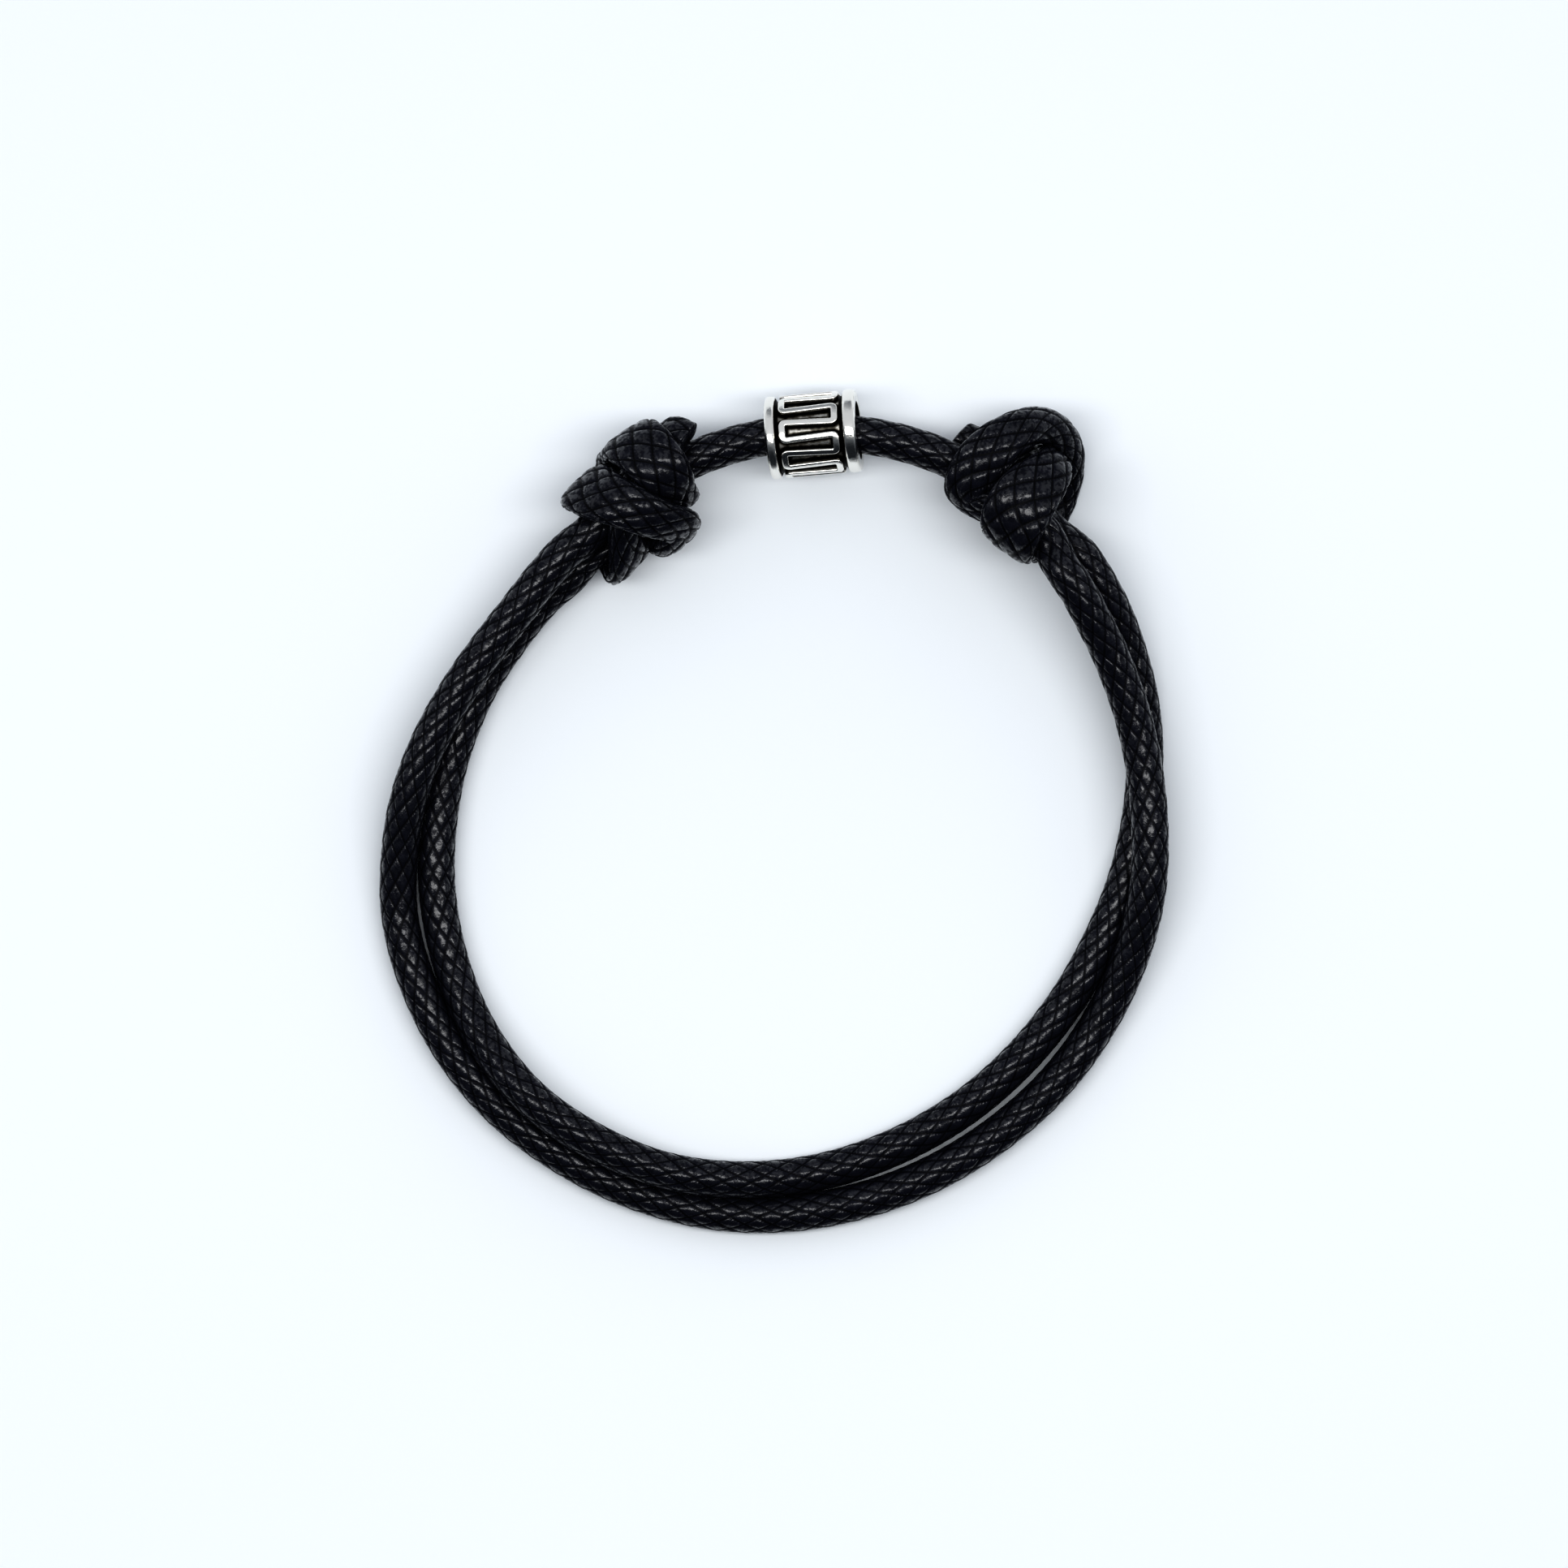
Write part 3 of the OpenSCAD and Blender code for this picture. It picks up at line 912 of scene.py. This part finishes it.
    def _tube(
        self, name: str, keep: np.ndarray, rings: np.ndarray, ahead: np.ndarray
    ) -> bpy.types.Object:
        """Makes one piece of braided cord with closed ends.

        Args:
            name: the piece's name.
            keep: numbers of the route's points that it covers.
            rings: points of the braid on that stretch.
            ahead: directions along the route.

        Returns:
            The piece.
        """
        first, last = keep[0], keep[-1]
        center = self.route.run.points
        start = self._cap(rings[0], center[first], -ahead[first])[::-1]
        end = self._cap(rings[-1], center[last], ahead[last])
        layers = np.concatenate([start, rings, end])
        depth = self.cap_rings[-1][1] * MM
        tips = [center[first] - ahead[first] * depth, center[last] + ahead[last] * depth]
        caps = len(self.cap_rings)
        numbers = np.arange(first - caps, last + caps + 1)
        _, crease, weave = self.braid.surface(np.clip(numbers, first, last))
        faces = [tuple(t) for t in self.braid.faces(numbers).tolist()]
        faces += self._fans(len(layers))
        mesh = bpy.data.meshes.new(name)
        mesh.from_pydata(np.vstack([layers.reshape(-1, 3), tips]).tolist(), [], faces)
        # The crease attribute drives painted shade in the creases, and their dullness, in the cord's
        # material
        dress = (("crease", "FLOAT", "value", crease), ("weave", "FLOAT_VECTOR", "vector", weave))
        for label, kind, member, values in dress:
            values = values.reshape(-1, values.shape[-1] if kind == "FLOAT_VECTOR" else 1)
            values = np.vstack([values, values[:2]]).astype(np.float32)
            attribute = mesh.attributes.new(label, kind, "POINT")
            attribute.data.foreach_set(member, values.ravel())
        mesh.shade_smooth()
        mesh.update()
        piece = bpy.data.objects.new(name, mesh)
        bpy.context.scene.collection.objects.link(piece)
        return piece

    def _cap(self, ring: np.ndarray, center: np.ndarray, out: np.ndarray) -> np.ndarray:
        """Rings that close an end of the cord, from its last ring outwards."""
        return np.array(
            [center + (ring - center) * scale + out * depth * MM for scale, depth in self.cap_rings]
        )

    def _fans(self, layers: int) -> list[tuple[int, int, int]]:
        """Triangles from the first and the last ring of points to the tips beyond them."""
        n = self.braid.sides
        first, last = layers * n, layers * n + 1
        top = (layers - 1) * n
        turn = range(n)
        fans = [((k + 1) % n, k, first) for k in turn]
        return fans + [(top + k, top + (k + 1) % n, last) for k in turn]


def begin(mesh_object: bpy.types.Object) -> None:
    """Opens one object alone in edit mode."""
    bpy.context.view_layer.objects.active = mesh_object
    mesh_object.select_set(True)
    bpy.ops.object.mode_set(mode="EDIT")


def pick(domain: str, test: Callable[[Any], bool]) -> int:
    """Selects parts of the object in edit mode by their place.

    Args:
        domain: VERT, EDGE or FACE.
        test: says whether a vertex, edge or face is wanted.

    Returns:
        How many were selected.
    """
    bpy.ops.mesh.select_mode(type=domain)
    bpy.ops.mesh.select_all(action="DESELECT")
    mesh = bpy.context.edit_object.data
    edit = bmesh.from_edit_mesh(mesh)
    parts = {"VERT": edit.verts, "EDGE": edit.edges, "FACE": edit.faces}[domain]
    count = 0
    for part in parts:
        if test(part):
            part.select_set(True)
            count += 1
    bmesh.update_edit_mesh(mesh)
    return count


@dataclass
class TubeBead:
    """Antique silver tube bead: two rims, and a raised band that snakes round between them."""

    arc: BeadArc
    finish: AntiqueSilver
    length: float = 7.0 * MM
    rim_r: float = 3.2 * MM
    floor_r: float = 2.75 * MM
    bore_r: float = 2.2 * MM
    left_rim: float = 0.8 * MM
    right_rim: float = 1.0 * MM
    groove: float = 0.3 * MM
    rim_round: float = 0.3 * MM
    mouth_round: float = 0.12 * MM
    facets: int = 144
    floor_cuts: int = 34
    bright_crest: float = 0.08 * MM
    black_below: float = 0.3 * MM
    worn_end: float = 0.15
    worn_bore: float = 0.75
    worn_floor: float = 0.35
    wash_w: tuple[float, float] = (0.1 * MM, 0.3 * MM)
    stroke_cuts: int = 16
    flat_cuts: int = 4
    bend_cuts: int = 6
    weld: float = 0.002 * MM
    strokes: int = 16
    band_w: float = 0.52 * MM
    band_top: float = 3.17 * MM
    band_round: float = 0.12 * MM
    band_sink: float = 0.06 * MM
    corner_r: float = 0.34 * MM
    lean: float = 0.14 * MM
    first_stroke: float = 163.0
    turn: float = 1.3
    inset: float = 0.13 * MM
    drop: float = 0.3 * MM
    yaw: float = 5.0
    lift: float = 6.0

    def build(self) -> bpy.types.Object:
        """Makes the bead where it hangs on the cord.

        Returns:
            The bead.
        """
        body = self._body()
        band = self._band()
        bpy.ops.object.select_all(action="DESELECT")
        band.select_set(True)
        body.select_set(True)
        bpy.context.view_layer.objects.active = body
        bpy.ops.object.join()
        bead = bpy.context.object
        bead.name = "tube_bead"
        bead.data.name = "tube_bead"
        bpy.ops.object.shade_smooth_by_angle(angle=math.radians(40))
        self._mark_depth(bead)
        bead.data.transform(self._pose())
        bead.data.materials.append(self.finish.make())
        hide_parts("bead")
        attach(bead, "bead")
        LOG.info("tube_bead: %d faces", len(bead.data.polygons))
        return bead

    @property
    def barrel(self) -> tuple[float, float]:
        """Ends of the barrel between the rims, along the bore from the bead's middle."""
        return (-self.length / 2 + self.left_rim, self.length / 2 - self.right_rim)

    def _body(self) -> bpy.types.Object:
        """Turns the tube, its two rims and the floor that the band stands on."""
        bpy.ops.object.select_all(action="DESELECT")
        bpy.ops.mesh.primitive_cylinder_add(
            vertices=self.facets,
            radius=self.rim_r,
            depth=self.length,
            end_fill_type="NOTHING",
        )
        body = bpy.context.object
        begin(body)
        low, high = self.barrel
        for place in (low, high):
            bpy.ops.mesh.select_all(action="SELECT")
            bpy.ops.mesh.bisect(plane_co=(0, 0, place), plane_no=(0, 0, 1))
        pick("FACE", lambda f: low < f.calc_center_median().z < high)
        bpy.ops.mesh.extrude_region_move()
        shrink = self.floor_r / self.rim_r
        bpy.ops.transform.resize(value=(shrink, shrink, 1), center_override=(0, 0, 0))
        pick("EDGE", lambda e: e.is_boundary)
        bpy.ops.mesh.extrude_region_move()
        shrink = self.bore_r / self.rim_r
        bpy.ops.transform.resize(value=(shrink, shrink, 1), center_override=(0, 0, 0))
        bpy.ops.mesh.bridge_edge_loops()
        pick("EDGE", lambda e: self._on_ring(e, self.rim_r))
        bpy.ops.mesh.bevel(offset=self.rim_round, segments=6, affect="EDGES")
        pick("EDGE", lambda e: self._on_ring(e, self.bore_r))
        bpy.ops.mesh.bevel(offset=self.mouth_round, segments=3, affect="EDGES")
        pick("EDGE", self._along_floor)
        bpy.ops.mesh.subdivide(number_cuts=self.floor_cuts)
        bpy.ops.mesh.select_all(action="SELECT")
        bpy.ops.mesh.normals_make_consistent(inside=False)
        bpy.ops.object.mode_set(mode="OBJECT")
        return body

    @staticmethod
    def _on_ring(edge: Any, radius: float) -> bool:
        """Whether an edge runs round the bead at a radius."""
        a, b = (v.co for v in edge.verts)
        level = abs(a.z - b.z) < 1e-6
        return level and all(abs(v.xy.length - radius) < NEAR for v in (a, b))

    def _along_floor(self, edge: Any) -> bool:
        """Whether an edge runs the whole length of the floor between the rims."""
        a, b = (v.co for v in edge.verts)
        on_floor = all(abs(v.xy.length - self.floor_r) < NEAR for v in (a, b))
        return on_floor and abs(a.z - b.z) > self.length / 2

    def _band(self) -> bpy.types.Object:
        """Sweeps the raised band along one bend to each side, copies it and wraps it round."""
        pitch = 2 * math.pi * self.rim_r / self.strokes
        low, high = self.barrel
        reach = high - low - 2 * self.groove
        straight = reach - self.band_w - 2 * self.corner_r
        height = self.band_top - self.floor_r + self.band_sink
        bpy.ops.object.select_all(action="DESELECT")
        bpy.ops.mesh.primitive_plane_add(size=1)
        band = bpy.context.object
        begin(band)
        bpy.ops.mesh.select_all(action="SELECT")
        bpy.ops.transform.rotate(
            value=math.pi / 2, orient_axis="X", center_override=(0, 0, 0)
        )
        bpy.ops.transform.resize(value=(self.band_w, 1, height), center_override=(0, 0, 0))
        bpy.ops.transform.translate(value=(0, straight / 2, height / 2 - self.band_sink))
        bpy.ops.mesh.delete(type="ONLY_FACE")
        pick("VERT", lambda v: v.co.z > height / 2)
        bpy.ops.mesh.bevel(offset=self.band_round, segments=4, affect="VERTICES")
        pick("EDGE", lambda e: all(v.co.z > height - self.band_sink - 1e-6 for v in e.verts))
        bpy.ops.mesh.subdivide(number_cuts=2)
        bpy.ops.mesh.select_all(action="SELECT")
        x = 0.0
        y = straight / 2
        for heading in (-1, 1):
            self._sweep((0, heading * straight, 0), self.stroke_cuts)
            y += heading * straight
            self._bend(heading, (x + self.corner_r, y))
            x += self.corner_r
            y += heading * self.corner_r
            flat = pitch - 2 * self.corner_r
            self._sweep((flat, 0, 0), self.flat_cuts)
            x += flat
            self._bend(heading, (x, y - heading * self.corner_r))
            x += self.corner_r
            y -= heading * self.corner_r
        bpy.ops.object.mode_set(mode="OBJECT")
        copies = band.modifiers.new("round_the_bead", "ARRAY")
        copies.count = self.strokes // 2
        copies.use_relative_offset = False
        copies.use_constant_offset = True
        copies.constant_offset_displace = (2 * pitch, 0, 0)
        copies.use_merge_vertices = True
        copies.merge_threshold = self.weld
        bpy.ops.object.modifier_apply(modifier=copies.name)
        middle = (low + high) / 2
        for vertex in band.data.vertices:
            # Strokes lean, so that each bend is wider than the gap between two bends
            lean = self.lean * math.cos(math.pi * vertex.co.x / pitch)
            x = vertex.co.x + lean * vertex.co.y / (reach / 2)
            turn = math.radians(self.first_stroke) + x / self.rim_r
            radius = self.floor_r + vertex.co.z
            vertex.co = (
                radius * math.cos(turn),
                radius * math.sin(turn),
                vertex.co.y + middle,
            )
        begin(band)
        bpy.ops.mesh.select_all(action="SELECT")
        bpy.ops.mesh.remove_doubles(threshold=self.weld)
        bpy.ops.mesh.normals_make_consistent(inside=False)
        bpy.ops.object.mode_set(mode="OBJECT")
        return band

    @staticmethod
    def _sweep(way: Place, steps: int) -> None:
        """Extrudes the band's section straight on, in equal steps."""
        for _ in range(steps):
            bpy.ops.mesh.extrude_region_move(
                TRANSFORM_OT_translate={"value": tuple(w / steps for w in way)}
            )

    def _bend(self, heading: int, center: tuple[float, float]) -> None:
        """Spins the band's section a quarter turn, left after a stroke down and right after one up."""
        bpy.ops.mesh.spin(
            steps=self.bend_cuts,
            angle=heading * math.pi / 2,
            center=(center[0], center[1], 0),
            axis=(0, 0, 1),
        )

    def _mark_depth(self, bead: bpy.types.Object) -> None:
        """Stores how deep in the relief each point lies, from 0 on the crests to 1 on the floor."""
        count = len(bead.data.vertices)
        places = np.zeros(count * 3, np.float32)
        bead.data.vertices.foreach_get("co", places)
        places = places.reshape(-1, 3)
        radius = np.hypot(places[:, 0], places[:, 1])
        depth = np.clip((self.rim_r - self.bright_crest - radius) / self.black_below, 0, 1)
        depth[np.abs(places[:, 2]) > self.length / 2 - 2 * NEAR] = self.worn_end
        depth[radius < self.bore_r + 3 * NEAR] = self.worn_bore
        self._wear_floor(places, radius, depth)
        attribute = bead.data.attributes.new("depth", "FLOAT", "POINT")
        attribute.data.foreach_set("value", depth.astype(np.float32))

    def _wear_floor(self, places: np.ndarray, radius: np.ndarray, depth: np.ndarray) -> None:
        """Lets metal show in the middle of the floor, away from the walls that hold the black.

        Args:
            places: the bead's points before it is hung.
            radius: distance of each from the bead's axis.
            depth: how deep each lies, which is changed for those on the floor.
        """
        foot = np.flatnonzero(np.abs(radius - self.floor_r + self.band_sink) < NEAR)
        walls = KDTree(len(foot))
        for number in foot:
            walls.insert(places[number], int(number))
        walls.balance()
        low, high = self.barrel
        start, end = self.wash_w
        for number in np.flatnonzero(np.abs(radius - self.floor_r) < NEAR):
            along = places[number, 2]
            clear = min(walls.find(places[number])[2], along - low, high - along)
            bare = min(max((clear - start) / (end - start), 0.0), 1.0)
            depth[number] = 1 - (1 - self.worn_floor) * bare

    def _pose(self) -> Matrix:
        """Where the bead hangs: turned in plan, with its right end lifted."""
        turn = np.array([self.turn])
        middle = self.arc.point(turn)[0] - self.inset * self.arc.outward(turn)[0]
        middle[2] -= self.drop
        return (
            Matrix.Translation(Vector(middle))
            @ Matrix.Rotation(math.radians(self.yaw), 4, "Z")
            @ Matrix.Rotation(math.radians(-self.lift), 4, "Y")
            @ Matrix.Rotation(math.radians(90), 4, "Y")
        )


@dataclass
class Studio:
    """Pale floor, soft light from above and a camera straight over the bracelet."""

    card: MattCard
    center: tuple[float, float] = (0.75 * MM, 2.19 * MM)
    framed: float = 120.75 * MM
    focus_height: float = 3.0 * MM
    distance: float = 0.8
    sensor: float = 36.0
    floor_size: float = 4.0
    lamp_height: float = 0.5
    lamp_size: tuple[float, float] = (0.8, 0.12)
    lamp_radiance: float = 4.8
    sky: str = "#f4f8ff"
    dim: str = "#8d939b"
    dark: str = "#33373d"
    sky_strength: float = 0.55

    def build(self) -> None:
        """Sets the stage."""
        self._floor()
        self._camera()
        self._lamps()
        self._sky()
        view = bpy.context.scene.view_settings
        view.view_transform = "Standard"
        view.look = "High Contrast"
        LOG.info("studio: camera %.2f m above the floor", self.distance)

    def _floor(self) -> None:
        """Lays the card, large enough to fill every view."""
        bpy.ops.object.select_all(action="DESELECT")
        bpy.ops.mesh.primitive_plane_add(size=self.floor_size)
        floor = bpy.context.object
        floor.name = "floor"
        floor.data.materials.append(self.card.make())

    def _camera(self) -> None:
        """Hangs the camera over the middle of the photograph's frame."""
        camera = bpy.data.cameras.new("camera")
        camera.sensor_width = self.sensor
        camera.lens = self.sensor * self.distance / self.framed
        camera.clip_start, camera.clip_end = 0.01, 20
        holder = bpy.data.objects.new("camera", camera)
        holder.location = (*self.center, self.distance + self.focus_height)
        bpy.context.scene.collection.objects.link(holder)
        bpy.context.scene.camera = holder

    def _lamps(self) -> None:
        """Hangs a long soft box over the bracelet."""
        lamp = bpy.data.lights.new("soft_box", "AREA")
        lamp.shape = "RECTANGLE"
        lamp.size, lamp.size_y = self.lamp_size
        lamp.energy = self.lamp_radiance * math.pi * self.lamp_size[0] * self.lamp_size[1]
        holder = bpy.data.objects.new("soft_box", lamp)
        holder.location = (0, 0, self.lamp_height)
        holder.visible_camera = False
        bpy.context.scene.collection.objects.link(holder)

    def _sky(self) -> None:
        """Surrounds the stage with a room that is pale behind the bead and dark elsewhere."""
        world = bpy.data.worlds.new("pale_room")
        world.use_nodes = True
        tree = world.node_tree
        way = add_node(tree, "ShaderNodeTexCoord").outputs["Generated"]
        parts = add_node(tree, "ShaderNodeSeparateXYZ", inputs={"Vector": way}).outputs
        # From 0 in front of the bracelet to 1 behind the bead
        back = add_node(
            tree,
            "ShaderNodeMapRange",
            inputs={"Value": parts["Y"], "From Min": -1.0, "From Max": 1.0},
        ).outputs[0]
        colour = add_node(
            tree,
            "ShaderNodeValToRGB",
            inputs={"Fac": back},
            stops=[
                (0.15, linear(self.dark)),
                (0.4, linear(self.dim)),
                (0.6, linear(self.sky)),
                (0.9, linear(self.sky)),
                (1.0, linear(self.dim)),
            ],
        ).outputs["Color"]
        background = tree.nodes["Background"]
        tree.links.new(colour, background.inputs["Color"])
        background.inputs["Strength"].default_value = self.sky_strength
        bpy.context.scene.world = world


def main() -> None:
    """Builds the bracelet and its stage."""
    logging.basicConfig(level=logging.INFO, format="%(name)s: %(message)s")
    arc = BeadArc()
    Studio(MattCard()).build()
    BraidedCord(CordRoute(arc), Braid(), WaxedCotton()).build()
    TubeBead(arc, AntiqueSilver()).build()


if __name__ == "__main__":
    main()
